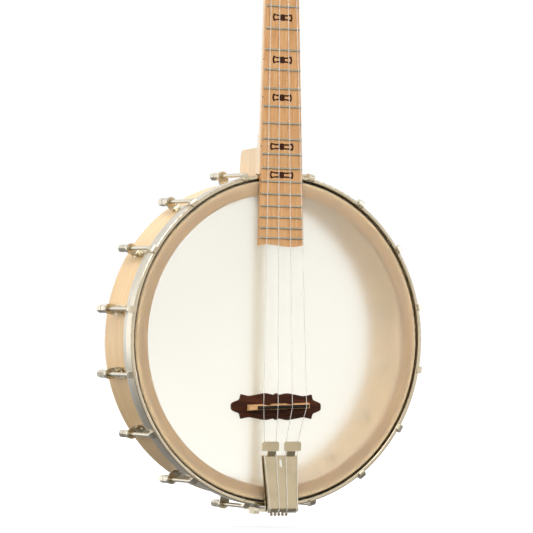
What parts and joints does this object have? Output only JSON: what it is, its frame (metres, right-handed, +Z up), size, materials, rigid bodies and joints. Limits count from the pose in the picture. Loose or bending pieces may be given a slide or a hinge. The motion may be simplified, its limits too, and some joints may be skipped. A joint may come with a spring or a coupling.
{
  "type": "open-back banjo",
  "caption": "Open-back banjo with a maple rim and neck, nickel hardware, a translucent head, a rosewood scroll plate under the bridge and geared tuners.",
  "frame": {"origin": "centre of the rim's back face, on the pot's axis", "axes": "+Z up along the neck, -Y the way the head faces, +X to the right seen from the front"},
  "size_m": [0.3294, 0.0859, 0.6865],
  "materials": {
    "maple": "satin",
    "board_maple": "satin",
    "rosewood": "satin",
    "ebony": "satin",
    "inlay": "satin",
    "skin": "matt translucent",
    "nickel": "polished nickel plate",
    "satin_nickel": "satin nickel plate",
    "fret_wire": "polished",
    "steel": "satin",
    "aluminium": "satin",
    "brass": "satin",
    "bone": "polished",
    "nylon": "clear",
    "pearl": "pearl",
    "dot": "satin"
  },
  "bodies": {
    "root": {"rim": "maple", "neck": "maple", "fretboard": "board_maple", "peghead_overlay": "rosewood", "bridge_plate": "rosewood", "bridge_body": "board_maple", "bridge_cap": "ebony", "inlays": "inlay", "side_dots": "dot", "string_nut": "bone", "head_film": "skin", "flesh_hoop": "aluminium", "tension_hoop": "nickel", "hooks": "nickel", "hook_nuts": "nickel", "bracket_shoes": "nickel", "shoe_bolts": "nickel", "shoe_washers": "nickel", "coordinator_rod": "nickel", "heel_bolts": "steel", "rod_nuts": "nickel", "rod_washers": "nickel", "frets": "fret_wire", "tailpiece_cover": "satin_nickel", "tailpiece_base": "satin_nickel", "string_pins": "satin_nickel", "tailpiece_spacer": "steel", "tailpiece_bolt": "nickel", "strings": "nylon", "tuner_plates": "nickel", "tuner_covers": "nickel", "tuner_bushings": "nickel", "tuner_washers": "nickel", "tuner_screws": "nickel"},
    "post_1": {"string_post_1": "nickel", "worm_gear_1": "brass", "gear_screw_1": "steel"},
    "button_1": {"worm_shaft_1": "steel", "button_1": "pearl"},
    "post_2": {"string_post_2": "nickel", "worm_gear_2": "brass", "gear_screw_2": "steel"},
    "button_2": {"worm_shaft_2": "steel", "button_2": "pearl"},
    "post_3": {"string_post_3": "nickel", "worm_gear_3": "brass", "gear_screw_3": "steel"},
    "button_3": {"worm_shaft_3": "steel", "button_3": "pearl"},
    "post_4": {"string_post_4": "nickel", "worm_gear_4": "brass", "gear_screw_4": "steel"},
    "button_4": {"worm_shaft_4": "steel", "button_4": "pearl"}
  },
  "joints": [
    {"name": "button_turn_1", "type": "hinge", "parent": "root", "child": "button_1", "pos_m": [-0.0424, -0.0244, 0.46967], "axis": [-1, 0, 0], "continuous": true},
    {"name": "post_turn_1", "type": "hinge", "parent": "root", "child": "post_1", "pos_m": [-0.0199, -0.04534, 0.46534], "axis": [0, -0.9736, 0.2284], "continuous": true},
    {"name": "button_turn_2", "type": "hinge", "parent": "root", "child": "button_2", "pos_m": [-0.0424, -0.03718, 0.41515], "axis": [-1, 0, 0], "continuous": true},
    {"name": "post_turn_2", "type": "hinge", "parent": "root", "child": "post_2", "pos_m": [-0.0199, -0.05813, 0.41082], "axis": [0, -0.9736, 0.2284], "continuous": true},
    {"name": "button_turn_3", "type": "hinge", "parent": "root", "child": "button_3", "pos_m": [0.0376, -0.03718, 0.41515], "axis": [1, 0, 0], "continuous": true},
    {"name": "post_turn_3", "type": "hinge", "parent": "root", "child": "post_3", "pos_m": [0.0151, -0.05813, 0.41082], "axis": [0, -0.9736, 0.2284], "continuous": true},
    {"name": "button_turn_4", "type": "hinge", "parent": "root", "child": "button_4", "pos_m": [0.0376, -0.0244, 0.46967], "axis": [1, 0, 0], "continuous": true},
    {"name": "post_turn_4", "type": "hinge", "parent": "root", "child": "post_4", "pos_m": [0.0151, -0.04534, 0.46534], "axis": [0, -0.9736, 0.2284], "continuous": true}
  ],
  "couplings": [
    {"joint": "post_turn_1", "follows": "button_turn_1", "ratio": 0.071429},
    {"joint": "post_turn_2", "follows": "button_turn_2", "ratio": 0.071429},
    {"joint": "post_turn_3", "follows": "button_turn_3", "ratio": 0.071429},
    {"joint": "post_turn_4", "follows": "button_turn_4", "ratio": 0.071429}
  ]
}
